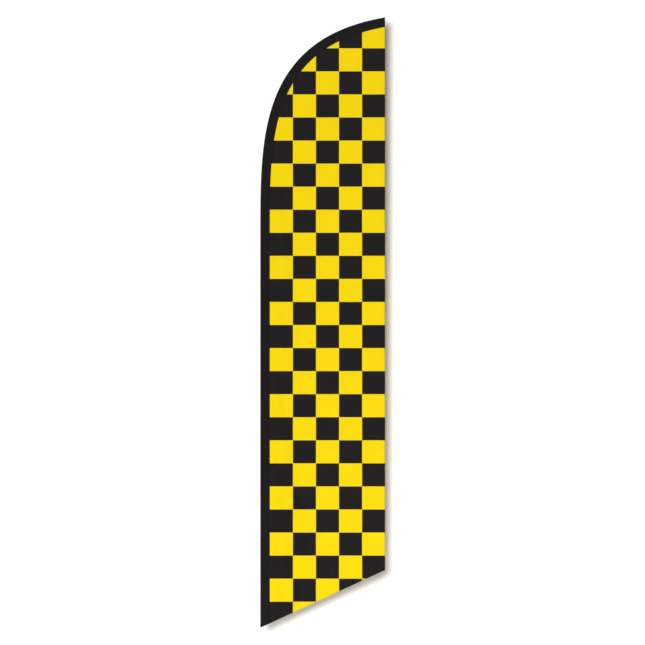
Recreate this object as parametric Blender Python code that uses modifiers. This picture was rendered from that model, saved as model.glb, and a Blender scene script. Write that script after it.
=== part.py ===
# Feather flag with pole: a swivel socket, a four-section bent pole and the sewn flag on it.
# The pole's axis is Z, the flag flies along +X, and the socket's lower face is z = 0.
import math

import bpy
import numpy as np
from mathutils import Matrix, Vector

MM = 0.001

# Flag outline
FLAG_WIDTH = 716.4 * MM
SPRING_HEIGHT = 2231.8 * MM  # lowest corner up to where the sleeve begins to bend
BEND_WIDTH = 1378.6 * MM  # half axes and exponent of the bent edge
BEND_HEIGHT = 1305.6 * MM
BEND_POWER = 3.415
HEM_SLOPE = 0.4626
BAND = 55.0 * MM  # sleeve, laid flat
HEM = 12.0 * MM
CLOTH = 0.8 * MM
GAP = 0.3 * MM

# Sleeve
SLEEVE_ROUND = 15.8 * MM  # round of the sleeve over the straight pole
SLEEVE_TIP_ROUND = 7.5 * MM
TAIL_HALF = 1.3 * MM
SEAM_ALLOWANCE = 5.0 * MM
TIP_ALLOWANCE = 8.0 * MM
EDGE_X = -SLEEVE_ROUND
FLY_X = EDGE_X + FLAG_WIDTH
CORNER_Z = -14.6 * MM
SPRING_Z = CORNER_Z + SPRING_HEIGHT
BEND_STATIONS = 30

# Pole sections, outside radius, wall and where they begin and end
LOWER_R = 12.7 * MM
LOWER_WALL = 1.4 * MM
LOWER_Z = (91.6 * MM, 1008.4 * MM)
MIDDLE_R = 11.0 * MM
MIDDLE_WALL = 1.4 * MM
MIDDLE_Z = (908.0 * MM, 1958.0 * MM)
UPPER_R = 7.0 * MM
UPPER_WALL = 1.8 * MM
UPPER_START_Z = 1882.0 * MM
JOINT_ON_BEND = 640.0 * MM  # of the two fibreglass sections, along the bend
TIP_END_R = 3.0 * MM
TIP_BACK = 17.0 * MM  # pole's end, short of the fly edge
FERRULE_HALF = 38.0 * MM

# Swivel
SPINDLE_BORE_R = 6.6 * MM
SOCKET_R = 8.5 * MM
SOCKET_TOP = 75.0 * MM
SOCKET_END_WALL = 3.0 * MM
CLIP_Z = 68.9 * MM
HOUSING_TOP = 88.0 * MM
RIVET_Z = 112.0 * MM

# Snap button and flag screw
BUTTON_Z = 948.0 * MM
BUTTON_R = 3.5 * MM
SCREW_Z = 170.0 * MM

STEPS = 32
SMALL_STEPS = 20


def clear_scene():
    for item in list(bpy.data.objects):
        bpy.data.objects.remove(item, do_unlink=True)


def collection(name):
    made = bpy.data.collections.new(name)
    bpy.context.scene.collection.children.link(made)
    return made


def material(name, colour, roughness, metallic):
    made = bpy.data.materials.new(name)
    made.use_nodes = True
    shader = made.node_tree.nodes["Principled BSDF"]
    shader.inputs["Base Color"].default_value = (*colour, 1.0)
    shader.inputs["Roughness"].default_value = roughness
    shader.inputs["Metallic"].default_value = metallic
    made.diffuse_color = (*colour, 1.0)
    return made


def add_mesh(name, verts, edges, faces, into, skin=None):
    mesh = bpy.data.meshes.new(name)
    mesh.from_pydata([tuple(v) for v in verts], edges, faces)
    mesh.update()
    made = bpy.data.objects.new(name, mesh)
    into.objects.link(made)
    if skin is not None:
        mesh.materials.append(skin)
    return made


def smooth(item, degrees=35.0):
    for face in item.data.polygons:
        face.use_smooth = True
    item.data.set_sharp_from_angle(angle=math.radians(degrees))


def turned(name, profile, into, skin, closed=False, steps=STEPS):
    """Profile of (radius, height) in millimetres, outer side first from top to bottom."""
    verts = [(r * MM, 0.0, z * MM) for r, z in profile]
    edges = [(i, i + 1) for i in range(len(verts) - 1)]
    if closed:
        edges.append((len(verts) - 1, 0))
    made = add_mesh(name, verts, edges, [], into, skin)
    spin = made.modifiers.new("turn", "SCREW")
    spin.steps = steps
    spin.render_steps = steps
    spin.use_merge_vertices = True
    spin.merge_threshold = 0.00001
    spin.use_smooth_shade = True
    return made


def aim(item, place, direction):
    """Stand an object's own Z along a direction."""
    item.matrix_world = Matrix.Translation(Vector(place)) @ Vector(direction).to_track_quat(
        "Z", "X"
    ).to_matrix().to_4x4()


def cylinder_cutter(name, radius, low, high, place, direction):
    bpy.ops.mesh.primitive_cylinder_add(vertices=SMALL_STEPS, radius=radius, depth=high - low)
    made = bpy.context.object
    made.name = name
    for owner in list(made.users_collection):
        owner.objects.unlink(made)
    CUTTERS.objects.link(made)
    along = Vector(direction).normalized()
    aim(made, Vector(place) + along * (low + high) / 2, along)
    made.hide_render = True
    made.display_type = "WIRE"
    return made


def cut(item, cutter):
    step = item.modifiers.new("hole", "BOOLEAN")
    step.operation = "DIFFERENCE"
    step.solver = "EXACT"
    step.object = cutter


def plate(name, outline, low, high, into, skin):
    """Outline of (x, z) points, drawn in the flag's plane, filled between two depths."""
    curve = bpy.data.curves.new(name, "CURVE")
    curve.dimensions = "2D"
    curve.fill_mode = "BOTH"
    curve.extrude = (high - low) / 2
    line = curve.splines.new("POLY")
    line.points.add(len(outline) - 1)
    for point, (x, z) in zip(line.points, outline):
        point.co = (x, z, 0.0, 1.0)
    line.use_cyclic_u = True
    made = bpy.data.objects.new(name, curve)
    into.objects.link(made)
    made.rotation_euler = (math.radians(90.0), 0.0, 0.0)
    made.location.y = (low + high) / 2
    curve.materials.append(skin)
    return made


def rod(name, points, radii, into, skin, wall=None, roundness=8):
    """Round bar through points in the flag's plane; with a wall it is a tube."""
    curve = bpy.data.curves.new(name, "CURVE")
    curve.dimensions = "3D"
    curve.bevel_depth = 1.0
    curve.bevel_resolution = roundness
    curve.use_fill_caps = wall is None
    curve.fill_mode = "FULL"
    line = curve.splines.new("POLY")
    line.points.add(len(points) - 1)
    for point, place, radius in zip(line.points, points, radii):
        point.co = (*place, 1.0)
        point.radius = radius
    drawn = bpy.data.objects.new(name + "_path", curve)
    into.objects.link(drawn)
    bpy.context.view_layer.update()
    graph = bpy.context.evaluated_depsgraph_get()
    mesh = bpy.data.meshes.new_from_object(drawn.evaluated_get(graph))
    bpy.data.objects.remove(drawn, do_unlink=True)
    bpy.data.curves.remove(curve)
    made = bpy.data.objects.new(name, mesh)
    into.objects.link(made)
    mesh.materials.clear()
    mesh.materials.append(skin)
    weld = made.modifiers.new("weld", "WELD")
    weld.merge_threshold = 0.00001
    if wall is not None:
        shell = made.modifiers.new("wall", "SOLIDIFY")
        shell.thickness = wall
        shell.offset = -1.0
        shell.use_even_offset = True
    smooth(made)
    return made


# ---- the sleeve's outer edge, by its length from the lowest corner

def bend_table():
    turn = np.linspace(0.0, math.pi / 2, 20001)
    x_share = np.cos(turn) ** (2 / BEND_POWER)
    z_share = np.sin(turn) ** (2 / BEND_POWER)
    across = BEND_WIDTH * (1 - x_share)
    up = BEND_HEIGHT * z_share
    keep = across < FLAG_WIDTH + 0.08
    inward = np.stack(
        [x_share ** (BEND_POWER - 1) / BEND_WIDTH, -(z_share ** (BEND_POWER - 1)) / BEND_HEIGHT], 1
    )
    inward /= np.linalg.norm(inward, axis=1)[:, None]
    places = np.stack([EDGE_X + across, SPRING_Z + up], 1)[keep]
    steps = np.linalg.norm(np.diff(places, axis=0), axis=1)
    length = np.concatenate([[0.0], np.cumsum(steps)])
    return length, places, inward[keep]


BEND_LENGTH, BEND_PLACES, BEND_INWARD = bend_table()


def on_edge(along, inset):
    """Point a given distance along the bend and set in from the sleeve's outer edge."""
    place = [np.interp(along, BEND_LENGTH, BEND_PLACES[:, k]) for k in (0, 1)]
    inward = [np.interp(along, BEND_LENGTH, BEND_INWARD[:, k]) for k in (0, 1)]
    size = math.hypot(*inward)
    return place[0] + inset * inward[0] / size, place[1] + inset * inward[1] / size


def reach(x_limit, inset):
    """Length along the bend at which the inset line meets an upright plane."""
    low, high = 0.0, BEND_LENGTH[-1]
    for _ in range(50):
        middle = (low + high) / 2
        if on_edge(middle, inset)[0] < x_limit:
            low = middle
        else:
            high = middle
    return (low + high) / 2


BEND_END = reach(FLY_X, 0.0)
PANEL_X = FLY_X - HEM - GAP
PANEL_BEND_END = reach(PANEL_X, BAND + GAP)
# The sleeve and the panel share these places along the bend, so their facets run side by side
BEND_MARKS = [PANEL_BEND_END * i / (BEND_STATIONS - 1) for i in range(BEND_STATIONS)]


def sleeve_round(along):
    share = min(max(along / BEND_END, 0.0), 1.0)
    return SLEEVE_ROUND + (SLEEVE_TIP_ROUND - SLEEVE_ROUND) * share


def teardrop(centre, radius, tail, tail_half, arcs=7):
    """Half of a sleeve section as (inset, depth) points, from the outer edge to the seam."""
    reach_in = tail - centre
    slant = math.hypot(reach_in, tail_half)
    touch = math.atan2(tail_half, reach_in) + math.acos(radius / slant)
    turns = [math.pi - (math.pi - touch) * i / arcs for i in range(arcs + 1)]
    half = [(centre + radius * math.cos(t), radius * math.sin(t)) for t in turns]
    half[0] = (centre - radius, 0.0)
    half.append((tail, tail_half))
    return half


def section(along, inner):
    centre = sleeve_round(along)
    if inner:
        half = teardrop(centre, centre - CLOTH, BAND - SEAM_ALLOWANCE, 0.2 * MM)
    else:
        half = teardrop(centre, centre, BAND, TAIL_HALF)
    return half + [(u, -v) for u, v in reversed(half[1:])]


def sleeve_rings(inner):
    rings = [[(EDGE_X + u, v, CORNER_Z + HEM_SLOPE * u) for u, v in section(0.0, inner)]]
    limit = FLY_X - (TIP_ALLOWANCE if inner else 0.0)
    for along in BEND_MARKS:
        ring = []
        for u, v in section(along, inner):
            x, z = on_edge(along, u)
            ring.append((x, v, z))
        rings.append(ring)
    ring = []
    for u, v in section(BEND_END, inner):
        x, z = on_edge(reach(limit, u), u)
        ring.append((limit, v, z))
    rings.append(ring)
    return rings


def lofted_sleeve(name, into, skin):
    verts, faces = [], []
    outer, inner = sleeve_rings(False), sleeve_rings(True)
    count = len(outer[0])
    for rings in (outer, inner):
        for ring in rings:
            verts.extend(ring)
    rows = len(outer)
    start = rows * count
    for base, flip in ((0, False), (start, True)):
        for row in range(rows - 1):
            for i in range(count):
                j = (i + 1) % count
                a, b = base + row * count + i, base + row * count + j
                quad = (a, a + count, b + count, b)
                faces.append(tuple(reversed(quad)) if flip else quad)
        end = base + (rows - 1) * count
        cap = list(range(end, end + count))
        faces.append(cap if flip else list(reversed(cap)))
    for i in range(count):
        j = (i + 1) % count
        faces.append((i, j, start + j, start + i))
    made = add_mesh(name, verts, [], faces, into, skin)
    smooth(made, 40.0)
    return made


def pole_point(along):
    x, z = on_edge(along, sleeve_round(along))
    return x, 0.0, z


def pole_tangent(along):
    ahead, behind = Vector(pole_point(along + 0.001)), Vector(pole_point(along - 0.001))
    return (ahead - behind).normalized()


def spread(start, end, count):
    return [start + (end - start) * i / (count - 1) for i in range(count)]


def hem_line(x, offset):
    """Height of a line parallel to the slanted edge, an offset above it."""
    lift = offset * math.sqrt(1 + HEM_SLOPE**2)
    return CORNER_Z + HEM_SLOPE * (x - EDGE_X) + lift


def ribbon(points, thickness):
    """Outline of a thin strip along a line of points."""
    left, right = [], []
    for i, point in enumerate(points):
        before = Vector(points[max(i - 1, 0)])
        after = Vector(points[min(i + 1, len(points) - 1)])
        run = (after - before).normalized()
        side = Vector((-run.y, run.x)) * thickness / 2
        left.append(tuple(Vector(point) + side))
        right.append(tuple(Vector(point) - side))
    return left + right[::-1]


clear_scene()
FLAG = collection("feather_flag")
CUTTERS = collection("cutters")

ALUMINIUM = material("aluminium", (0.60, 0.61, 0.62), 0.35, 1.0)
STEEL = material("zinc_steel", (0.56, 0.57, 0.58), 0.30, 1.0)
BRASS = material("brass", (0.65, 0.47, 0.18), 0.30, 1.0)
NYLON = material("black_nylon", (0.02, 0.02, 0.022), 0.45, 0.0)
FIBREGLASS = material("fibreglass", (0.72, 0.70, 0.62), 0.40, 0.0)
RUBBER = material("rubber", (0.02, 0.02, 0.02), 0.75, 0.0)
BLACK_CLOTH = material("black_cloth", (0.017, 0.014, 0.014), 0.85, 0.0)
YELLOW_CLOTH = material("yellow_cloth", (0.98, 0.72, 0.0), 0.80, 0.0)
WEBBING = material("webbing", (0.015, 0.015, 0.015), 0.90, 0.0)

# ---- swivel at the foot of the pole

bore, sock = SPINDLE_BORE_R / MM, SOCKET_R / MM
top, groove = SOCKET_TOP / MM, CLIP_Z / MM
end = top - SOCKET_END_WALL / MM
turned(
    "swivel_socket",
    [(0.0, top), (sock - 0.5, top), (sock, top - 0.5), (sock, groove + 0.9), (7.7, groove + 0.9),
     (7.7, groove - 0.9), (sock, groove - 0.9), (sock, 3.0), (12.0, 3.0), (12.0, 0.0), (bore, 0.0),
     (bore, end), (0.0, end)],
    FLAG, STEEL,
)
turned("thrust_washer", [(12.0, 4.8), (12.0, 3.3), (8.8, 3.3), (8.8, 4.8)], FLAG, BRASS, closed=True)

opening = math.radians(32.0)
turns = [opening + (2 * math.pi - 2 * opening) * i / 24 for i in range(25)]
clip = [(10.3 * MM * math.cos(t), 10.3 * MM * math.sin(t)) for t in turns]
clip += [(8.0 * MM * math.cos(t), 8.0 * MM * math.sin(t)) for t in reversed(turns)]
circlip = plate("socket_circlip", clip, -0.6 * MM, 0.6 * MM, FLAG, STEEL)
circlip.rotation_euler = (0.0, 0.0, 0.0)
circlip.location = (0.0, 0.0, CLIP_Z)

top = HOUSING_TOP / MM
turned(
    "swivel_housing",
    [(12.7, top), (12.7, 5.1), (8.8, 5.1), (8.8, groove - 1.2), (10.9, groove - 1.2), (10.9, top)],
    FLAG, ALUMINIUM, closed=True,
)
plug = turned(
    "housing_plug",
    [(0.0, top + 42.0), (10.4, top + 42.0), (11.0, top + 41.4), (11.0, top + 3.3), (12.7, top + 3.3),
     (12.7, top + 0.3), (10.6, top + 0.3), (10.6, top - 10.0), (0.0, top - 10.0)],
    FLAG, NYLON,
)

# ---- lower and middle tubes

lower = turned(
    "lower_pole_tube",
    [(LOWER_R / MM, LOWER_Z[1] / MM), (LOWER_R / MM, LOWER_Z[0] / MM),
     ((LOWER_R - LOWER_WALL) / MM, LOWER_Z[0] / MM), ((LOWER_R - LOWER_WALL) / MM, LOWER_Z[1] / MM)],
    FLAG, ALUMINIUM, closed=True,
)
middle = turned(
    "middle_pole_tube",
    [(MIDDLE_R / MM, MIDDLE_Z[1] / MM), (MIDDLE_R / MM, MIDDLE_Z[0] / MM),
     ((MIDDLE_R - MIDDLE_WALL) / MM, MIDDLE_Z[0] / MM), ((MIDDLE_R - MIDDLE_WALL) / MM, MIDDLE_Z[1] / MM)],
    FLAG, ALUMINIUM, closed=True,
)
end = LOWER_Z[1] / MM
turned(
    "pole_collar",
    [(13.4, end + 3.1), (14.2, end + 2.3), (14.2, end - 22.0), (13.0, end - 23.4), (13.0, end + 0.3),
     (11.3, end + 0.3), (11.3, end + 3.1)],
    FLAG, NYLON, closed=True,
)
for name, side in (("plug_rivet_front", -1.0), ("plug_rivet_back", 1.0)):
    rivet = turned(
        name,
        [(0.0, 13.9), (1.8, 13.8), (3.0, 13.5), (3.6, 13.2), (3.6, 13.0), (2.0, 13.0), (2.0, 9.2), (0.0, 9.2)],
        FLAG, STEEL, steps=SMALL_STEPS,
    )
    aim(rivet, (0.0, 0.0, RIVET_Z), (0.0, side, 0.0))
    hole = cylinder_cutter(name + "_hole", 2.3 * MM, 8.9 * MM, 16.0 * MM, (0.0, 0.0, RIVET_Z), (0.0, side, 0.0))
    cut(lower, hole)
    cut(plug, hole)

# ---- snap button that locks the middle tube in the lower one

button = turned(
    "snap_button",
    [(0.0, 14.2), (1.8, 14.0), (3.0, 13.4), (3.5, 12.8), (3.5, 8.0), (4.8, 8.0), (4.8, 6.8), (0.0, 6.8)],
    FLAG, STEEL, steps=SMALL_STEPS,
)
aim(button, (0.0, 0.0, BUTTON_Z), (1.0, 0.0, 0.0))
button_hole = cylinder_cutter(
    "button_hole", BUTTON_R + GAP, 3.0 * MM, 18.0 * MM, (0.0, 0.0, BUTTON_Z), (1.0, 0.0, 0.0)
)
cut(lower, button_hole)
cut(middle, button_hole)

zb = BUTTON_Z
leaf = [(6.2, 3.5), (6.2, -4.0), (5.6, -12.0), (3.6, -22.0), (0.6, -30.0), (-2.6, -34.0), (-5.6, -33.6),
        (-7.4, -30.0), (-8.1, -22.0), (-8.4, -8.0), (-8.4, 6.0)]
leaf = [(x * MM, zb + z * MM) for x, z in leaf]
plate("snap_button_spring", ribbon(leaf, 0.5 * MM), -3.0 * MM, 3.0 * MM, FLAG, STEEL)

# ---- reducer, the two fibreglass sections and their ferrule

rim = MIDDLE_Z[1] / MM
turned(
    "reducer_bush",
    [(10.4, rim + 4.0), (11.0, rim + 3.4), (11.0, rim + 0.3), (9.3, rim + 0.3), (9.3, rim - 80.0),
     (7.3, rim - 80.0), (7.3, rim + 4.0)],
    FLAG, NYLON, closed=True,
)
pole_end = reach(FLY_X - TIP_BACK, sleeve_round(BEND_END))
half = FERRULE_HALF / 2
before = [JOINT_ON_BEND - 2 * half, JOINT_ON_BEND - half]
after = [JOINT_ON_BEND + half, JOINT_ON_BEND + 2 * half]
marks = spread(0.0, before[0], 14) + [before[1], JOINT_ON_BEND - GAP]
run = [(0.0, 0.0, UPPER_START_Z)] + [pole_point(m) for m in marks]
rod("upper_pole", run, [UPPER_R] * len(run), FLAG, FIBREGLASS, wall=UPPER_WALL)

marks = [JOINT_ON_BEND + GAP, after[0]] + spread(after[1], pole_end, 22)
run = [pole_point(m) for m in marks]
taper = (UPPER_R - TIP_END_R) / (pole_end - JOINT_ON_BEND)
rod("tip_pole", run, [UPPER_R - taper * (m - JOINT_ON_BEND) for m in marks], FLAG, FIBREGLASS)

run = [pole_point(m) for m in before + [JOINT_ON_BEND] + after]
rod("tip_ferrule", run, [UPPER_R + GAP + 1.3 * MM] * len(run), FLAG, STEEL, wall=1.3 * MM)

tip, heading = pole_point(pole_end), pole_tangent(pole_end)
cap = turned(
    "tip_cap",
    [(0.0, 4.0), (3.4, 4.0), (4.6, 2.6), (4.6, -12.0), (3.5, -12.0), (3.5, 0.4), (0.0, 0.4)],
    FLAG, RUBBER, steps=SMALL_STEPS,
)
aim(cap, tip, heading)

# ---- the sewn flag

sleeve = lofted_sleeve("pole_sleeve", FLAG, BLACK_CLOTH)
cup = turned(
    "tip_pocket",
    [(0.0, 6.2), (5.0, 6.2), (6.2, 5.0), (6.2, -26.0), (5.0, -26.0), (5.0, 4.4), (0.0, 4.4)],
    FLAG, WEBBING, steps=SMALL_STEPS,
)
aim(cup, tip, heading)

seam_x = EDGE_X + BAND + GAP
outline = [(PANEL_X, hem_line(PANEL_X, HEM + GAP)), (seam_x, hem_line(seam_x, HEM + GAP))]
outline += [on_edge(along, BAND + GAP) for along in BEND_MARKS]
plate("flag_panel", outline[::-1], -CLOTH / 2, CLOTH / 2, FLAG, YELLOW_CLOTH)

hem_x = FLY_X - HEM
crown = [on_edge(reach(x, BAND + GAP), BAND + GAP) for x in (hem_x, FLY_X)]
outline = [(hem_x, hem_line(hem_x, HEM + GAP)), (FLY_X, hem_line(FLY_X, HEM + GAP)), crown[1], crown[0]]
plate("fly_hem", outline, -CLOTH, CLOTH, FLAG, YELLOW_CLOTH)

outline = [(seam_x, hem_line(seam_x, 0.0)), (FLY_X, hem_line(FLY_X, 0.0)),
           (FLY_X, hem_line(FLY_X, HEM)), (seam_x, hem_line(seam_x, HEM))]
plate("bottom_hem", outline, -CLOTH, CLOTH, FLAG, YELLOW_CLOTH)

# ---- the screw that holds the flag down, at the back of the sleeve

back = (0.0, 1.0, 0.0)
foot = (0.0, 0.0, SCREW_Z)
eyelet = turned(
    "sleeve_grommet",
    [(6.1, 16.8), (6.5, 16.5), (6.5, 16.1), (3.5, 16.1), (3.5, 14.1), (2.9, 14.1), (2.9, 16.8)],
    FLAG, BRASS, closed=True, steps=SMALL_STEPS,
)
aim(eyelet, foot, back)
washer = turned(
    "grommet_washer", [(5.0, 13.8), (5.0, 13.2), (2.9, 13.2), (2.9, 13.8)],
    FLAG, BRASS, closed=True, steps=SMALL_STEPS,
)
aim(washer, foot, back)
insert = turned(
    "threaded_insert",
    [(3.4, 12.2), (3.4, 9.6), (5.0, 9.6), (5.0, 8.0), (2.3, 8.0), (2.3, 12.2)],
    FLAG, BRASS, closed=True, steps=SMALL_STEPS,
)
aim(insert, foot, back)
screw = turned(
    "flag_screw",
    [(0.0, 21.2), (4.8, 21.2), (5.5, 20.5), (5.5, 17.9), (4.8, 17.2), (2.0, 17.2), (2.0, 8.6), (0.0, 8.6)],
    FLAG, STEEL, steps=SMALL_STEPS,
)
aim(screw, foot, back)
cut(sleeve, cylinder_cutter("grommet_hole", 3.8 * MM, 12.9 * MM, 20.0 * MM, foot, back))
cut(lower, cylinder_cutter("insert_hole", 3.7 * MM, 6.0 * MM, 14.5 * MM, foot, back))
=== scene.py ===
import math

import bmesh
import bpy
import numpy as np
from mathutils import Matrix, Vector, noise
from mathutils.bvhtree import BVHTree
from mathutils.geometry import barycentric_transform


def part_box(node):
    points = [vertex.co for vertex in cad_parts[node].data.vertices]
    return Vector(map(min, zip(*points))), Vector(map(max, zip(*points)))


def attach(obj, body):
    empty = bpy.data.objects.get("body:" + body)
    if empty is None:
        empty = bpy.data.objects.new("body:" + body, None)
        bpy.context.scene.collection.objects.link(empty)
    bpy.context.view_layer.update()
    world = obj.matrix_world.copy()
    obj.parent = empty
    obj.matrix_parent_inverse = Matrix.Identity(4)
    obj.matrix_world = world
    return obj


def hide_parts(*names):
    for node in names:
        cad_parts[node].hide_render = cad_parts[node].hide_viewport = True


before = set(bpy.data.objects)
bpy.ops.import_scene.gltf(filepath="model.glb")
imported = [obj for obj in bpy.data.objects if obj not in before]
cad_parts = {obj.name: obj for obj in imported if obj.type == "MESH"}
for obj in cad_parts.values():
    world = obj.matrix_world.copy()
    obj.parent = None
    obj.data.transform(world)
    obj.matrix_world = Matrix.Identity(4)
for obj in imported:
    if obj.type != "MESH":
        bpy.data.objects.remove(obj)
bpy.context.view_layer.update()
print("frame loaded,", len(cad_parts), "nodes")

mm = 0.001
flagBody = "flag_and_pole"
waveRepeat = 0.314  # metres from band to band of a wave texture at scale 1

# the flag's cut, laid out flat
cut = {
    "springHeight": 2231.8 * mm,  # where the sleeve's edge begins to bend, above the lowest corner
    "bendWidth": 1378.6 * mm,  # half axes and power of the quarter oval that the bend follows
    "bendHeight": 1305.6 * mm,
    "bendPower": 3.415,
    "bendSteps": 20000,
    "seamSteps": 70,  # straight cuts that make up the seam's bend
    "hemSlope": 0.4626,
    "band": 55.0 * mm,  # sleeve, edge to seam
    "check": 132.4 * mm,
    "firstColumn": 55.2 * mm,  # from the sleeve's edge
    "firstRow": 149.8 * mm,  # above the lowest corner
    "lastColumn": 4,
}

sleeveLow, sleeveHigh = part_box("pole_sleeve")
edgeX, cornerZ = sleeveLow.x, sleeveLow.z
flyX, topZ = sleeveHigh.x, sleeveHigh.z
springZ = cornerZ + cut["springHeight"]
hemAngle = math.atan(cut["hemSlope"])


# helpers

def hexColour(text, gain=1.0):
    # sRGB hex to the linear values that the shaders want
    parts = [int(text[i:i + 2], 16) / 255 for i in (1, 3, 5)]
    linear = [c / 12.92 if c <= 0.04045 else ((c + 0.055) / 1.055) ** 2.4 for c in parts]
    return (*[c * gain for c in linear], 1.0)


def addNode(tree, kind, settings=None, links=None):
    # settings: attribute or socket values, links: socket -> output socket of another node
    node = tree.nodes.new(kind)
    for key, value in (settings or {}).items():
        if isinstance(key, str) and hasattr(node, key) and key not in node.inputs:
            setattr(node, key, value)
        else:
            node.inputs[key].default_value = value
    for key, source in (links or {}).items():
        tree.links.new(source, node.inputs[key])
    return node


def meshObject(name, verts, faces, smooth=True):
    mesh = bpy.data.meshes.new(name)
    mesh.from_pydata([tuple(v) for v in verts], [], [tuple(f) for f in faces])
    mesh.update()
    made = bpy.data.objects.new(name, mesh)
    bpy.context.scene.collection.objects.link(made)
    if smooth:
        mesh.polygons.foreach_set("use_smooth", [True] * len(mesh.polygons))
    return made


def applyAll(thing):
    # bakes the modifiers into the mesh
    graph = bpy.context.evaluated_depsgraph_get()
    mesh = bpy.data.meshes.new_from_object(thing.evaluated_get(graph))
    thing.modifiers.clear()
    old = thing.data
    thing.data = mesh
    mesh.name = thing.name
    bpy.data.meshes.remove(old)


def smoothStep(low, high, x):
    t = min(max((x - low) / (high - low), 0.0), 1.0)
    return t * t * (3 - 2 * t)


# the sleeve's outer edge

def bendTable():
    # length along the bend, places and the direction in towards the cloth
    turn = np.linspace(0.0, math.pi / 2, cut["bendSteps"] + 1)
    power = cut["bendPower"]
    xShare, zShare = np.cos(turn) ** (2 / power), np.sin(turn) ** (2 / power)
    across = cut["bendWidth"] * (1 - xShare)
    inward = np.stack([xShare ** (power - 1) / cut["bendWidth"],
                       -zShare ** (power - 1) / cut["bendHeight"]], 1)
    inward /= np.linalg.norm(inward, axis=1)[:, None]
    keep = across < flyX - edgeX + 80 * mm  # a little past the fly edge
    places = np.stack([edgeX + across, springZ + cut["bendHeight"] * zShare], 1)[keep]
    steps = np.linalg.norm(np.diff(places, axis=0), axis=1)
    return np.concatenate([[0.0], np.cumsum(steps)]), places, inward[keep]


bendLength, bendPlaces, bendInward = bendTable()


def onBend(along, inset):
    x, z = (float(np.interp(along, bendLength, bendPlaces[:, k])) for k in (0, 1))
    nx, nz = (float(np.interp(along, bendLength, bendInward[:, k])) for k in (0, 1))
    size = math.hypot(nx, nz)
    return x + inset * nx / size, z + inset * nz / size


def onEdge(along, inset):
    # along is measured from the lowest corner
    if along < cut["springHeight"]:
        return edgeX + inset, cornerZ + along
    return onBend(along - cut["springHeight"], inset)


def bendReach(limit, inset):
    # how far along the bend an inset line meets the upright line x = limit
    low, high = 0.0, float(bendLength[-1])
    for _ in range(40):
        middle = (low + high) / 2
        if onBend(middle, inset)[0] < limit:
            low = middle
        else:
            high = middle
    return (low + high) / 2


bendEnd = bendReach(flyX, 0.0)


def hemHeight(x, lift=0.0):
    return cornerZ + cut["hemSlope"] * (x - edgeX) + lift / math.cos(hemAngle)


def isBlack(x, z):
    column = max(math.floor((x - edgeX - cut["firstColumn"]) / cut["check"]), 0)
    row = math.floor((z - cornerZ - cut["firstRow"]) / cut["check"])
    return (min(column, cut["lastColumn"]) + row) % 2 == 1


# materials

cloth = {
    "yellow": "#FDDD00",
    "black": "#231F20",
    "yellowBack": "#F3D420",
    "blackBack": "#37332F",
    "yellowGain": 0.78,  # albedo under this light that comes out at the colours above
    "blackGain": 0.5,
    "knitMm": 3.0,  # knit rib, drawn coarse: the real one is 0.7 mm
    "creaseMm": 55.0,
    "dyeMm": 90.0,  # uneven dye over a hand's width
    "knitBump": (0.25, 0.2 * mm),  # strength and depth
    "creaseBump": (0.5, 1.2 * mm),
    "glossSpread": 0.05,
    "specular": 0.12,
}


def clothMaterial(name, colour, gain, knitMm=cloth["knitMm"], creaseMm=cloth["creaseMm"], shade=0.03,
                  roughness=0.82):
    made = bpy.data.materials.new(name)
    made.use_nodes = True
    tree = made.node_tree
    shader = tree.nodes["Principled BSDF"]
    place = addNode(tree, "ShaderNodeTexCoord")
    dye = addNode(tree, "ShaderNodeTexNoise",
                  {"Scale": 1 / (cloth["dyeMm"] * mm), "Detail": 3.0, "Roughness": 0.6},
                  {"Vector": place.outputs["Object"]})
    rib, course = (addNode(tree, "ShaderNodeTexWave",
                           {"wave_type": "BANDS", "bands_direction": way,
                            "Scale": waveRepeat / (knitMm * mm), "Distortion": 0.4, "Detail": 1.0},
                           {"Vector": place.outputs["Object"]}) for way in ("X", "Z"))
    base = hexColour(colour, gain)
    low = [c * (1 - shade) for c in base[:3]] + [1.0]
    high = [c * (1 + shade) for c in base[:3]] + [1.0]
    tone = addNode(tree, "ShaderNodeMix", {"data_type": "RGBA", 6: low, 7: high}, {0: dye.outputs["Fac"]})
    tree.links.new(tone.outputs[2], shader.inputs["Base Color"])
    knit = addNode(tree, "ShaderNodeMath", {"operation": "MULTIPLY"},
                   {0: rib.outputs["Fac"], 1: course.outputs["Fac"]})
    strength, deep = cloth["knitBump"]
    fine = addNode(tree, "ShaderNodeBump", {"Strength": strength, "Distance": deep},
                   {"Height": knit.outputs[0]})
    crease = addNode(tree, "ShaderNodeTexNoise",
                     {"Scale": 1 / (creaseMm * mm), "Detail": 2.0, "Roughness": 0.45},
                     {"Vector": place.outputs["Object"]})
    strength, deep = cloth["creaseBump"]
    soft = addNode(tree, "ShaderNodeBump", {"Strength": strength, "Distance": deep},
                   {"Height": crease.outputs["Fac"], "Normal": fine.outputs["Normal"]})
    tree.links.new(soft.outputs["Normal"], shader.inputs["Normal"])
    spread = cloth["glossSpread"]
    worn = addNode(tree, "ShaderNodeMapRange", {"To Min": roughness - spread, "To Max": roughness + spread},
                   {"Value": knit.outputs[0]})
    tree.links.new(worn.outputs[0], shader.inputs["Roughness"])
    shader.inputs["Specular IOR Level"].default_value = cloth["specular"]
    return made


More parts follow.
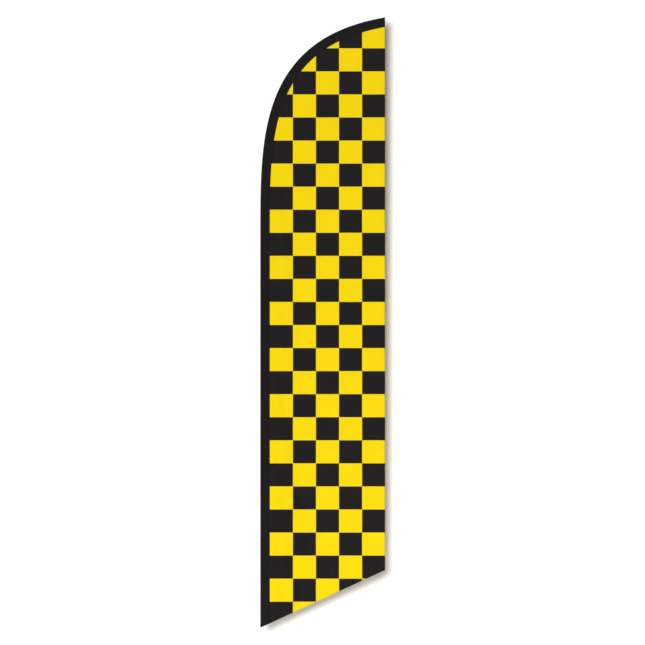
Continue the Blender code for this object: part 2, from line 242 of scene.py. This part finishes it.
def plainMaterial(name, colour, roughness, metallic=0.0, grainMm=8.0, shade=0.06, bump=0.05, gain=1.0):
    # a solid material with a little unevenness in tone and gloss
    made = bpy.data.materials.new(name)
    made.use_nodes = True
    tree = made.node_tree
    shader = tree.nodes["Principled BSDF"]
    place = addNode(tree, "ShaderNodeTexCoord")
    grain = addNode(tree, "ShaderNodeTexNoise",
                    {"Scale": 1 / (grainMm * mm), "Detail": 4.0, "Roughness": 0.6},
                    {"Vector": place.outputs["Object"]})
    base = hexColour(colour, gain)
    low = [c * (1 - shade) for c in base[:3]] + [1.0]
    high = [min(c * (1 + shade), 1.0) for c in base[:3]] + [1.0]
    tone = addNode(tree, "ShaderNodeMix", {"data_type": "RGBA", 6: low, 7: high},
                   {0: grain.outputs["Fac"]})
    tree.links.new(tone.outputs[2], shader.inputs["Base Color"])
    worn = addNode(tree, "ShaderNodeMapRange", {"To Min": roughness - 0.06, "To Max": roughness + 0.06},
                   {"Value": grain.outputs["Fac"]})
    tree.links.new(worn.outputs[0], shader.inputs["Roughness"])
    if bump:
        relief = addNode(tree, "ShaderNodeBump", {"Strength": bump, "Distance": 0.3 * mm},
                         {"Height": grain.outputs["Fac"]})
        tree.links.new(relief.outputs["Normal"], shader.inputs["Normal"])
    shader.inputs["Metallic"].default_value = metallic
    return made


# printed polyester: matt, with a fine rib that only shows close to
yellowFront = clothMaterial("yellow printed polyester", cloth["yellow"], cloth["yellowGain"])
blackFront = clothMaterial("black printed polyester", cloth["black"], cloth["blackGain"])
# the ink comes through to the back a little paler
yellowBack = clothMaterial("yellow polyester back", cloth["yellowBack"], cloth["yellowGain"])
blackBack = clothMaterial("black polyester back", cloth["blackBack"], cloth["yellowGain"])
checkMaterials = [yellowFront, blackFront, yellowBack, blackBack]
# sleeve: heavier black polyester, coarser to the eye
sleeveCloth = clothMaterial("black sleeve polyester", cloth["black"], cloth["blackGain"], knitMm=3.6,
                            creaseMm=40.0, roughness=0.86)
# thread: a touch glossier than the cloth round it; the black thread's colour is drawn lighter than the
# black cloth's, a painted glint
threadBlackPaintedGlint = plainMaterial("black thread", "#4A4647", 0.6, gain=0.8, grainMm=1.0, bump=0)
threadYellow = plainMaterial("yellow thread", "#F5D600", 0.6, gain=0.83, grainMm=1.0, bump=0)
# drawn aluminium tube: bright, satin
aluminium = plainMaterial("drawn aluminium", "#C9CBCD", 0.32, metallic=1.0, grainMm=6.0)
# zinc-plated steel: greyer and smoother
zincSteel = plainMaterial("zinc-plated steel", "#BDBFC2", 0.26, metallic=1.0, grainMm=9.0)
# brass: warm, satin
brass = plainMaterial("brass", "#C9A65A", 0.28, metallic=1.0, grainMm=7.0)
# moulded black nylon: soft sheen
nylon = plainMaterial("moulded black nylon", "#232425", 0.45, grainMm=5.0, bump=0.1)
# fibreglass: creamy, resin gloss
fibreglass = plainMaterial("pultruded fibreglass", "#D9D4C2", 0.35, grainMm=12.0)
# black rubber: dull
rubber = plainMaterial("black rubber", "#1E1E1E", 0.8, grainMm=4.0, bump=0.15)
# polyester webbing: dull, coarse
webbing = clothMaterial("black webbing", "#1F1D1D", 0.9, knitMm=2.0, creaseMm=20.0, roughness=0.88)

finish = {
    "swivel_socket": zincSteel, "thrust_washer": brass, "socket_circlip": zincSteel,
    "swivel_housing": aluminium, "housing_plug": nylon, "plug_rivet_front": zincSteel,
    "plug_rivet_back": zincSteel, "lower_pole_tube": aluminium, "pole_collar": nylon,
    "snap_button": zincSteel, "snap_button_spring": zincSteel, "middle_pole_tube": aluminium,
    "reducer_bush": nylon, "upper_pole": fibreglass, "tip_ferrule": zincSteel, "tip_pole": fibreglass,
    "tip_cap": rubber, "tip_pocket": webbing, "sleeve_grommet": brass, "grommet_washer": brass,
    "flag_screw": zincSteel, "threaded_insert": brass,
}
for nodeName, nodeMaterial in finish.items():
    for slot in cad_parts[nodeName].material_slots:
        slot.material = nodeMaterial
print("materials made")


# the cloth panel

panel = {
    "fineSteps": 12,  # cells per check in the shown mesh
    "simSteps": 8,  # and in the simulated one
    "underSleeve": 4.0 * mm,  # sewn in between the sleeve's two layers
    "thick": 0.35 * mm,
    "merge": 0.5 * mm,  # corners of the cut closer than this become one
    "deepest": 17.0 * mm,  # how far a fold may stand out of the flag's plane
    "foldShare": 0.6,
    "calm": 40 * mm,  # folds grow over this distance from the seam
    "softPasses": 12,
}


def seamMarks(inset):
    # places round the bend, at an inset from the edge
    end = bendReach(flyX, inset)
    return [onBend(end * i / cut["seamSteps"], inset) for i in range(cut["seamSteps"] + 1)]


def flatCloth(steps, name):
    # grid that follows the checks, trimmed to the cut of the panel
    pitch = cut["check"] / steps
    x0 = edgeX + cut["firstColumn"] - pitch
    z0 = cornerZ + cut["firstRow"] - 2 * cut["check"]
    columns = math.ceil((flyX - x0) / pitch)
    rows = math.ceil((topZ - z0) / pitch)
    bm = bmesh.new()
    grid = [[bm.verts.new((x0 + i * pitch, 0.0, z0 + j * pitch)) for i in range(columns + 1)]
            for j in range(rows + 1)]
    for j in range(rows):
        for i in range(columns):
            bm.faces.new((grid[j][i], grid[j][i + 1], grid[j + 1][i + 1], grid[j + 1][i]))

    def trim(place, outward):
        bmesh.ops.bisect_plane(bm, geom=bm.verts[:] + bm.edges[:] + bm.faces[:], dist=1e-6,
                               plane_co=place, plane_no=outward, clear_outer=True)

    inset = cut["band"] - panel["underSleeve"]
    trim((flyX, 0, 0), (1, 0, 0))
    trim((edgeX + inset, 0, 0), (-1, 0, 0))
    trim((edgeX, 0, cornerZ), (math.sin(hemAngle), 0, -math.cos(hemAngle)))
    marks = seamMarks(inset)
    for (ax, az), (bx, bz) in zip(marks, marks[1:]):
        trim((ax, 0, az), (-(bz - az), 0, bx - ax))
    bmesh.ops.remove_doubles(bm, verts=bm.verts[:], dist=panel["merge"])
    mesh = bpy.data.meshes.new(name)
    bm.to_mesh(mesh)
    bm.free()
    made = bpy.data.objects.new(name, mesh)
    bpy.context.scene.collection.objects.link(made)
    return made


def seamDistance(places):
    # how far inside the sleeve's seam each (x, z) place lies
    marks = np.array(seamMarks(cut["band"]))
    run = np.diff(marks, axis=0)
    run /= np.linalg.norm(run, axis=1)[:, None]
    away = places[:, None, :] - marks[None, :-1, :]
    bend = (away[:, :, 0] * run[:, 1] - away[:, :, 1] * run[:, 0]).min(axis=1)
    return np.minimum(bend, places[:, 0] - edgeX - cut["band"])


def depthLookup(flat, deep, triangles):
    # function for the depth of a folded sheet above a place on its flat pattern
    sound = [t for t in triangles  # slivers have no reliable depth
             if (flat[t[1]] - flat[t[0]]).cross(flat[t[2]] - flat[t[0]]).length > mm * mm]
    tree = BVHTree.FromPolygons(flat, sound)

    def depth(x, z):
        place = Vector((x, 0.0, z))
        a, b, c = sound[tree.find_nearest(place)[2]]
        return barycentric_transform(place, flat[a], flat[b], flat[c], deep[a], deep[b], deep[c]).y

    return depth


folds = {
    "startDepth": 16 * mm,  # waves that the cloth starts with, and how many to a metre
    "waveX": 3.4,
    "waveZ": 1.6,
    "fullFrom": 0.6,  # they are at their full depth this far from the seam
    "held": 4 * mm,  # cloth this close to the seam stays put
    "looseFrom": 0.1,  # cloth this far from the seam and further hangs looser
    "looseTo": 0.55,
    "frames": 34,
    "settings": {
        "quality": 7, "mass": 0.12, "tension_stiffness": 25, "compression_stiffness": 25,
        "shear_stiffness": 12, "bending_stiffness": 0.4, "air_damping": 3.0,
        "shrink_min": -0.005,  # share that the loose cloth is shrunk by, negative for slack
        "shrink_max": -0.002,  # and the cloth by the seam
    },
}


def simulateFolds():
    # hangs the cloth from the sleeve's seam and returns a function for its depth
    sheet = flatCloth(panel["simSteps"], "hanging_cloth")
    mesh = sheet.data
    count = len(mesh.vertices)
    rest = np.empty(count * 3)
    mesh.vertices.foreach_get("co", rest)
    rest = rest.reshape(-1, 3)
    held = sheet.vertex_groups.new(name="held")
    taut = sheet.vertex_groups.new(name="taut")
    for v, inside in zip(mesh.vertices, seamDistance(rest[:, ::2])):
        wave = noise.noise(Vector((v.co.x * folds["waveX"], 1.7, v.co.z * folds["waveZ"])))
        v.co.y = folds["startDepth"] * smoothStep(folds["held"], folds["fullFrom"], inside) * wave
        taut.add([v.index], 1 - smoothStep(folds["looseFrom"], folds["looseTo"], inside), "REPLACE")
        if inside < folds["held"]:
            held.add([v.index], 1.0, "REPLACE")
    step = sheet.modifiers.new("cloth", "CLOTH")
    for key, value in folds["settings"].items():
        setattr(step.settings, key, value)
    step.settings.vertex_group_mass = "held"
    step.settings.vertex_group_shrink = "taut"
    step.collision_settings.use_collision = False
    step.point_cache.frame_start = 1
    step.point_cache.frame_end = folds["frames"]
    for f in range(1, folds["frames"] + 1):
        bpy.context.scene.frame_set(f)
    graph = bpy.context.evaluated_depsgraph_get()
    posed = sheet.evaluated_get(graph).to_mesh()
    moved = np.empty(count * 3)
    posed.vertices.foreach_get("co", moved)
    moved = moved.reshape(-1, 3)
    posed.calc_loop_triangles()
    triangles = [tuple(t.vertices) for t in posed.loop_triangles]
    print("folds simulated, mm:", round(moved[:, 1].min() / mm, 1), round(moved[:, 1].max() / mm, 1))
    flat = [Vector((x, 0.0, z)) for x, _, z in rest]
    deep = [Vector((x, y, z)) for (x, _, z), y in zip(rest, moved[:, 1])]
    bpy.context.scene.frame_set(1)
    bpy.data.objects.remove(sheet, do_unlink=True)
    return depthLookup(flat, deep, triangles)


foldDepth = simulateFolds()

flagPanel = flatCloth(panel["fineSteps"], "checkered_panel")
mesh = flagPanel.data
depths = np.array([foldDepth(v.co.x, v.co.z) for v in mesh.vertices])
depths = panel["deepest"] * np.tanh(panel["foldShare"] * depths / panel["deepest"])
places = np.array([(v.co.x, v.co.z) for v in mesh.vertices])
free = [smoothStep(0.0, panel["calm"], inside) for inside in seamDistance(places)]
pairs = np.array([e.vertices[:] for e in mesh.edges])
for _ in range(panel["softPasses"]):
    # takes the facets of the coarser simulated cloth out, and its sharpest folds
    total, count = np.zeros(len(depths)), np.zeros(len(depths))
    for a, b in ((0, 1), (1, 0)):
        np.add.at(total, pairs[:, a], depths[pairs[:, b]])
        np.add.at(count, pairs[:, a], 1)
    depths = 0.5 * depths + 0.5 * total / np.maximum(count, 1)
for v, y in zip(mesh.vertices, depths * free):
    v.co.y = y
bm = bmesh.new()
bm.from_mesh(mesh)
bmesh.ops.triangulate(bm, faces=bm.faces[:])
bm.to_mesh(mesh)
bm.free()
mesh.calc_loop_triangles()
panelTriangles = [tuple(t.vertices) for t in mesh.loop_triangles]
panelFlat = [Vector((v.co.x, 0, v.co.z)) for v in mesh.vertices]
panelDeep = [v.co.copy() for v in mesh.vertices]
panelDepth = depthLookup(panelFlat, panelDeep, panelTriangles)

for material in checkMaterials:
    mesh.materials.append(material)
for face in mesh.polygons:
    face.material_index = 1 if isBlack(face.center.x, face.center.z) else 0
    face.use_smooth = True


def thicken(thing, thick, backOffset=0, offset=0.0):
    shell = thing.modifiers.new("thickness", "SOLIDIFY")
    shell.thickness = thick
    shell.offset = offset
    shell.material_offset = backOffset
    shell.use_even_offset = False
    applyAll(thing)


hem = {
    # mm in from the edge and behind the panel, from the sewn edge round to the front
    "section": [(12.0, 0.62), (11.6, 0.84), (6.0, 0.9), (1.2, 0.88), (0.5, 0.76), (0.12, 0.5), (0.0, 0.2),
                (0.12, -0.12), (0.4, -0.34), (0.9, -0.44), (1.3, -0.38)],
    "backStrips": 5,  # of the section's strips, those that face back
    "thick": 0.25 * mm,
    "flyStep": 5.5 * mm,
    "bottomStep": 2.5 * mm,  # fine enough to follow the folds there
    "flyStart": 12.2 * mm,  # the fly hem begins above the bottom hem
    "topUnder": 2 * mm,  # each hem's end goes this far under the sleeve
    "bottomUnder": 3 * mm,
}


def foldedHem(name, points, inward):
    # folded strip along an edge
    verts, faces = [], []
    wide = len(hem["section"])
    for x, z in points:
        for inset, lift in hem["section"]:
            px, pz = x + inward[0] * inset * mm, z + inward[1] * inset * mm
            verts.append((px, panelDepth(px, pz) + lift * mm, pz))
    for i in range(len(points) - 1):
        for j in range(wide - 1):
            a = i * wide + j
            faces.append((a, a + 1, a + wide + 1, a + wide))
    made = meshObject(name, verts, faces)
    for material in checkMaterials:
        made.data.materials.append(material)
    for n, face in enumerate(made.data.polygons):
        i, j = divmod(n, wide - 1)
        (ax, az), (bx, bz) = points[i], points[i + 1]
        black = isBlack((ax + bx) / 2 + inward[0] * 3 * mm, (az + bz) / 2 + inward[1] * 3 * mm)
        face.material_index = (1 if black else 0) + (2 if j < hem["backStrips"] else 0)
    thicken(made, hem["thick"])
    return made


def edgeMarks(start, end, step):
    # points along a straight edge, with one at each change of check: the flag has fewer than 30
    (ax, az), (bx, bz) = start, end
    length = math.hypot(bx - ax, bz - az)
    places = set(np.linspace(0, 1, int(length / step) + 1).round(9))
    for k in range(-2, 30):
        z = cornerZ + cut["firstRow"] + k * cut["check"]
        x = edgeX + cut["firstColumn"] + k * cut["check"]
        if abs(bz - az) > 1e-9 and 0 < (z - az) / (bz - az) < 1:
            places.add(round((z - az) / (bz - az), 9))
        if abs(bx - ax) > 1e-9 and 0 < (x - ax) / (bx - ax) < 1:
            places.add(round((x - ax) / (bx - ax), 9))
    return [(ax + (bx - ax) * t, az + (bz - az) * t) for t in sorted(places)]


seamX = edgeX + cut["band"]
topInset = cut["band"] - hem["topUnder"]
flyTop = onBend(bendReach(flyX, topInset), topInset)[1]
flyPoints = edgeMarks((flyX, hemHeight(flyX, hem["flyStart"])), (flyX, flyTop), hem["flyStep"])
flyHem = foldedHem("fly_edge_hem", flyPoints, (-1.0, 0.0))
upFromHem = (-math.sin(hemAngle), math.cos(hemAngle))
bottomX = seamX - hem["bottomUnder"]
bottomPoints = edgeMarks((bottomX, hemHeight(bottomX)), (flyX, hemHeight(flyX)), hem["bottomStep"])
bottomHem = foldedHem("bottom_edge_hem", bottomPoints, upFromHem)
thicken(flagPanel, panel["thick"], backOffset=2)  # the back's materials come two slots later


# the pole sleeve

sleeve = {
    "rowStep": 11 * mm,
    "arcSteps": 11,
    "flatSteps": 12,
    "roundFoot": 15.8 * mm,  # radius round the pole, at the foot and at the tip
    "roundTip": 7.5 * mm,
    "tailHalf": 0.62 * mm,  # half the gap between the layers, at the seam
    "thick": 0.4 * mm,
    "wrinkle": 0.9 * mm,  # heights of the wrinkles, seam puckers and drag lines
    "pucker": 0.35 * mm,
    "drag": 0.6 * mm,
    "softSize": (75 * mm, 60 * mm),  # along and across the sleeve
    "fineSize": (22 * mm, 50 * mm),
    "puckerReach": 9 * mm,
    "puckerSize": 8 * mm,
    "dragPitch": 42 * mm,
    "closeOver": 10 * mm,  # the tip's end closes over this length
    "closedHalf": 0.9 * mm,
    "eyelet": 3.9 * mm,  # radius of the hole for the eyelet
}


def sleeveRound(along):
    # the sleeve closes in on the pole as the pole gets thinner
    share = min(max((along - cut["springHeight"]) / bendEnd, 0.0), 1.0)
    return sleeve["roundFoot"] - (sleeve["roundFoot"] - sleeve["roundTip"]) * share


def dropSection(centre, tail, tailHalf):
    # half of the section, (distance in from the edge, depth, normal), edge first
    reach = tail - centre
    slant = math.hypot(reach, tailHalf)
    touch = math.atan2(tailHalf, reach) + math.acos(min(centre / slant, 1.0))
    half = []
    for i in range(sleeve["arcSteps"] + 1):
        t = math.pi - (math.pi - touch) * i / sleeve["arcSteps"]
        half.append((centre + centre * math.cos(t), centre * math.sin(t), math.cos(t), math.sin(t)))
    u0, v0, nu, nv = half[-1]
    for i in range(1, sleeve["flatSteps"] + 1):
        t = i / sleeve["flatSteps"]
        half.append((u0 + (tail - u0) * t, v0 + (tailHalf - v0) * t, nu, nv))
    return half


def sleeveWave(inset, along, side):
    # soft wrinkles over the flats, puckers at the seam and drag lines round the bend
    band = cut["band"]
    free = smoothStep(0.22 * band, 0.6 * band, inset) * (1 - 0.75 * smoothStep(0.85 * band, band, inset))
    bend = smoothStep(0, 0.25, along - cut["springHeight"])
    (softLong, softWide), (fineLong, fineWide) = sleeve["softSize"], sleeve["fineSize"]
    soft = noise.noise(Vector((along / softLong, inset / softWide, 4.0 * side)))
    fine = noise.noise(Vector((along / fineLong, inset / fineWide, 9.0 * side)))
    wave = sleeve["wrinkle"] * free * (soft + 0.35 * fine)
    near = math.exp(-(((band - inset) / sleeve["puckerReach"]) ** 2))
    wave += sleeve["pucker"] * near * noise.noise(Vector((along / sleeve["puckerSize"], 0.3, 5.0 * side)))
    drift = 5 * noise.noise(Vector((along / 0.2, 3.0, side)))
    lines = math.sin(2 * math.pi * (along + 0.8 * inset) / sleeve["dragPitch"] + drift)
    strength = 0.5 + 0.5 * noise.noise(Vector((along / 0.15, 8.0, side)))
    wave += sleeve["drag"] * bend * free * lines * strength
    return wave


def sewnSleeve():
    # rows of sections from the slanted mouth to the tip at the fly edge
    straightRows = int(cut["springHeight"] / sleeve["rowStep"])
    bendRows = int(bendEnd / sleeve["rowStep"])
    ends = {}
    verts, faces = [], []
    rows = [("straight", i / straightRows) for i in range(straightRows)]
    rows += [("bend", i / bendRows) for i in range(bendRows)]
    rows += [("bend", 1 - 6e-3), ("bend", 1 - 3e-3), ("bend", 1 - 1e-3), ("bend", 1.0)]  # the closing tip
    for kind, share in rows:
        guess = cut["springHeight"] + share * bendEnd
        if kind == "straight":
            guess = share * cut["springHeight"]
        half = dropSection(sleeveRound(guess), cut["band"], sleeve["tailHalf"])
        around = [(u, v, nu, nv, 1) for u, v, nu, nv in reversed(half)]
        around += [(u, -v, nu, -nv, -1) for u, v, nu, nv in half[1:]]
        for u, v, nu, nv, side in around:
            if kind == "straight":
                mouth = cut["hemSlope"] * u
                along = mouth + (cut["springHeight"] - mouth) * share
            else:
                key = round(u, 5)
                if key not in ends:
                    ends[key] = bendReach(flyX, u)
                along = cut["springHeight"] + ends[key] * share
            x, z = onEdge(along, u)
            past = max(sleeve["closeOver"] - (flyX - x), 0) / sleeve["closeOver"]
            close = math.sqrt(max(1 - past ** 2, 0.0))
            depth = v * close + math.copysign(sleeve["closedHalf"] * (1 - close), 1 if v > 0 else -1)
            lift = sleeveWave(u, along, side) * close
            ahead = onEdge(along, u + 1 * mm)
            ux, uz = (ahead[0] - x) / mm, (ahead[1] - z) / mm
            verts.append((x + ux * nu * lift, depth + nv * lift, z + uz * nu * lift))
    wide = len(around)
    for i in range(len(rows) - 1):
        for j in range(wide - 1):
            a = i * wide + j
            faces.append((a, a + 1, a + wide + 1, a + wide))
    made = meshObject("black_pole_sleeve", verts, faces)
    made.data.materials.append(sleeveCloth)
    return made


poleSleeve = sewnSleeve()
thicken(poleSleeve, sleeve["thick"], offset=-1.0)  # inwards

# hole for the eyelet in the back of the sleeve
eyeLow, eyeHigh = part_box("sleeve_grommet")
eye = (eyeLow + eyeHigh) / 2
bpy.ops.mesh.primitive_cylinder_add(vertices=32, radius=sleeve["eyelet"], depth=12 * mm,
                                    location=(eye.x, eye.y, eye.z), rotation=(math.radians(90), 0, 0))
punch = bpy.context.object
holeCut = poleSleeve.modifiers.new("eyelet hole", "BOOLEAN")
holeCut.operation = "DIFFERENCE"
holeCut.solver = "EXACT"
holeCut.object = punch
applyAll(poleSleeve)
bpy.data.objects.remove(punch, do_unlink=True)


# stitching

stitch = {
    "length": 2.8 * mm,
    "gap": 1.2 * mm,
    "width": 0.5 * mm,
    "height": 0.3 * mm,
    "sunk": 0.1 * mm,
    "seamInsets": (cut["band"] - 2.5 * mm, cut["band"] - 8.5 * mm),  # from the sleeve's edge
    "hemInsets": (3.2 * mm, 9.8 * mm),  # from the hem's edge
    "hemBack": 0.98 * mm,  # behind the panel's middle, on the folded strip
    "hemFront": -0.18 * mm,
    "tipMargin": 6 * mm,  # the seam's stitches stop this far from the fly edge
    "seamMargin": 4 * mm,
    "hemMargin": 5 * mm,
}


def stitchRows(name, rows, materials):
    # rows of (place, facing, material index) along which stitches are laid
    verts, faces, kinds = [], [], []
    for row in rows:
        for (a, na, _), (b, nb, _), kind in zip(row[::2], row[1::2], [r[2] for r in row[::2]]):
            run = (b - a).normalized()
            up = ((na + nb) / 2).normalized()
            side = run.cross(up) * stitch["width"] / 2
            middle = (a + b) / 2
            start = len(verts)
            sunk = up * stitch["sunk"]
            verts += [a - sunk, middle + side, middle + up * stitch["height"], middle - side,
                      middle - sunk, b - sunk]
            for p, q in ((1, 2), (2, 3), (3, 4), (4, 1)):
                faces.append((start, start + p, start + q))
                faces.append((start + 5, start + q, start + p))
            kinds += [kind] * 8
    made = meshObject(name, verts, faces, smooth=False)
    for material in materials:
        made.data.materials.append(material)
    made.data.polygons.foreach_set("material_index", kinds)
    return made


def stitchStations(length, margin):
    # pairs of positions, the two ends of each stitch
    pitch = stitch["length"] + stitch["gap"]
    count = int((length - 2 * margin) / pitch)
    places = []
    for i in range(count):
        places += [margin + i * pitch, margin + i * pitch + stitch["length"]]
    return places


def sleeveSurface(inset, along, side):
    half = dropSection(sleeveRound(along), cut["band"], sleeve["tailHalf"])
    depth = np.interp(inset, [h[0] for h in half], [h[1] for h in half])
    x, z = onEdge(along, inset)
    return Vector((x, side * (depth + sleeveWave(inset, along, side)), z))


seamRows = []
for side in (1, -1):
    for inset in stitch["seamInsets"]:
        total = cut["springHeight"] + bendReach(flyX - stitch["tipMargin"], inset)
        start = cut["hemSlope"] * inset
        facing = Vector((0, side, 0))
        seamRows.append([(sleeveSurface(inset, start + s, side), facing, 0)
                         for s in stitchStations(total - start, stitch["seamMargin"])])
seamStitches = stitchRows("sleeve_seam_stitches", seamRows, [threadBlackPaintedGlint])

hemRows = []
for start, end, inward in (
    ((flyX, hemHeight(flyX, 3 * mm)), (flyX, flyTop), (-1.0, 0.0)),
    ((seamX + 1 * mm, hemHeight(seamX + 1 * mm)), (flyX, hemHeight(flyX)), upFromHem),
):
    length = math.hypot(end[0] - start[0], end[1] - start[1])
    for inset in stitch["hemInsets"]:
        for side in (1, -1):
            row = []
            for s in stitchStations(length, stitch["hemMargin"]):
                x = start[0] + (end[0] - start[0]) * s / length + inward[0] * inset
                z = start[1] + (end[1] - start[1]) * s / length + inward[1] * inset
                y = panelDepth(x, z) + stitch["hemBack" if side > 0 else "hemFront"]
                row.append((Vector((x, y, z)), Vector((0, side, 0)), 1 if isBlack(x, z) else 0))
            hemRows.append(row)
hemStitches = stitchRows("hem_stitches", hemRows, [threadYellow, threadBlackPaintedGlint])
print("stitches laid:", (len(seamStitches.data.polygons) + len(hemStitches.data.polygons)) // 8)

for piece in (flagPanel, flyHem, bottomHem, poleSleeve, seamStitches, hemStitches):
    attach(piece, flagBody)
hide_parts("flag_panel")
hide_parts("fly_hem")
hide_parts("bottom_hem")
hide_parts("pole_sleeve")


# floor, backdrop, light and camera

stage = {
    "floorDrop": 120 * mm,  # below the lowest corner, since the flag hangs on a base's spindle
    "wallBehind": 0.75,
    "paper": "#F4F4F4",
    "fadeFrom": 3.5,  # the floor fades out into the white room between these distances
    "fadeTo": 8.5,
    "reach": 9.0,  # half the width of the paper
    "worldShare": 0.06,
}
suns = {
    # share of the light that white paper needs to come out white, direction, spread in degrees
    "key": (0.96, (math.tan(math.radians(2.35)), 1.0, -math.tan(math.radians(2.25))), 5.0),
    "top": (0.25, (0.05, 0.05, -1.0), 40.0),
    "back": (0.42, (-0.35, -1.0, -0.45), 30.0),
}


def paperMaterial(name, fades=False):
    # matt white paper, clear when seen from behind and to the lights
    made = bpy.data.materials.new(name)
    made.use_nodes = True
    tree = made.node_tree
    shader = tree.nodes["Principled BSDF"]
    shader.inputs["Base Color"].default_value = hexColour(stage["paper"])
    shader.inputs["Roughness"].default_value = 0.95
    shader.inputs["Specular IOR Level"].default_value = 0.0
    side = addNode(tree, "ShaderNodeNewGeometry")
    clear = addNode(tree, "ShaderNodeBsdfTransparent")
    ray = addNode(tree, "ShaderNodeLightPath")
    unseen = addNode(tree, "ShaderNodeMath", {"operation": "MAXIMUM"},
                     {0: side.outputs["Backfacing"], 1: ray.outputs["Is Shadow Ray"]}).outputs[0]
    if fades:
        away = addNode(tree, "ShaderNodeVectorMath", {"operation": "LENGTH"},
                       {0: side.outputs["Position"]})
        fade = addNode(tree, "ShaderNodeMapRange",
                       {"interpolation_type": "SMOOTHSTEP", "From Min": stage["fadeFrom"],
                        "From Max": stage["fadeTo"]}, {"Value": away.outputs["Value"]})
        unseen = addNode(tree, "ShaderNodeMath", {"operation": "MAXIMUM"},
                         {0: unseen, 1: fade.outputs[0]}).outputs[0]
    both = addNode(tree, "ShaderNodeMixShader", None,
                   {0: unseen, 1: shader.outputs[0], 2: clear.outputs[0]})
    tree.links.new(both.outputs[0], tree.nodes["Material Output"].inputs["Surface"])
    return made


floorZ = cornerZ - stage["floorDrop"]
wallY = stage["wallBehind"]
wide = stage["reach"]
floor = meshObject("studio_floor", [(-wide, -wide, floorZ), (wide, -wide, floorZ), (wide, wallY, floorZ),
                                    (-wide, wallY, floorZ)], [(0, 1, 2, 3)])
floor.data.materials.append(paperMaterial("floor paper", True))
wall = meshObject("studio_backdrop", [(-wide, wallY, floorZ), (wide, wallY, floorZ), (wide, wallY, wide),
                                      (-wide, wallY, wide)], [(0, 1, 2, 3)])
wall.data.materials.append(paperMaterial("backdrop paper"))


def sunLight(name, share, towards, spread):
    lamp = bpy.data.lights.new(name, "SUN")
    lamp.energy = share * math.pi
    lamp.angle = math.radians(spread)
    made = bpy.data.objects.new(name, lamp)
    bpy.context.scene.collection.objects.link(made)
    made.rotation_euler = Vector(towards).to_track_quat("-Z", "Y").to_euler()


for name, values in suns.items():
    sunLight(name, *values)

world = bpy.data.worlds.new("white studio")
bpy.context.scene.world = world
world.use_nodes = True
tree = world.node_tree
ray = addNode(tree, "ShaderNodeLightPath")
level = addNode(tree, "ShaderNodeMapRange", {"To Min": stage["worldShare"], "To Max": 1.0},
                {"Value": ray.outputs["Is Camera Ray"]})
tree.nodes["Background"].inputs["Color"].default_value = (1, 1, 1, 1)
tree.links.new(level.outputs[0], tree.nodes["Background"].inputs["Strength"])

view = {
    "height": 3.7036,  # metres that fit in the view
    "right": 357.4 * mm,  # the view's middle, from the sleeve's edge and the lowest corner
    "up": 1752.9 * mm,
    "away": 6.0,
}
lens = bpy.data.cameras.new("camera")
lens.type = "ORTHO"
lens.ortho_scale = view["height"]
camera = bpy.data.objects.new("camera", lens)
bpy.context.scene.collection.objects.link(camera)
camera.location = (edgeX + view["right"], -view["away"], cornerZ + view["up"])
camera.rotation_euler = (math.radians(90), 0, 0)
bpy.context.scene.camera = camera
bpy.context.scene.view_settings.view_transform = "Standard"
bpy.context.scene.view_settings.look = "None"
print("stage, lights and camera set")
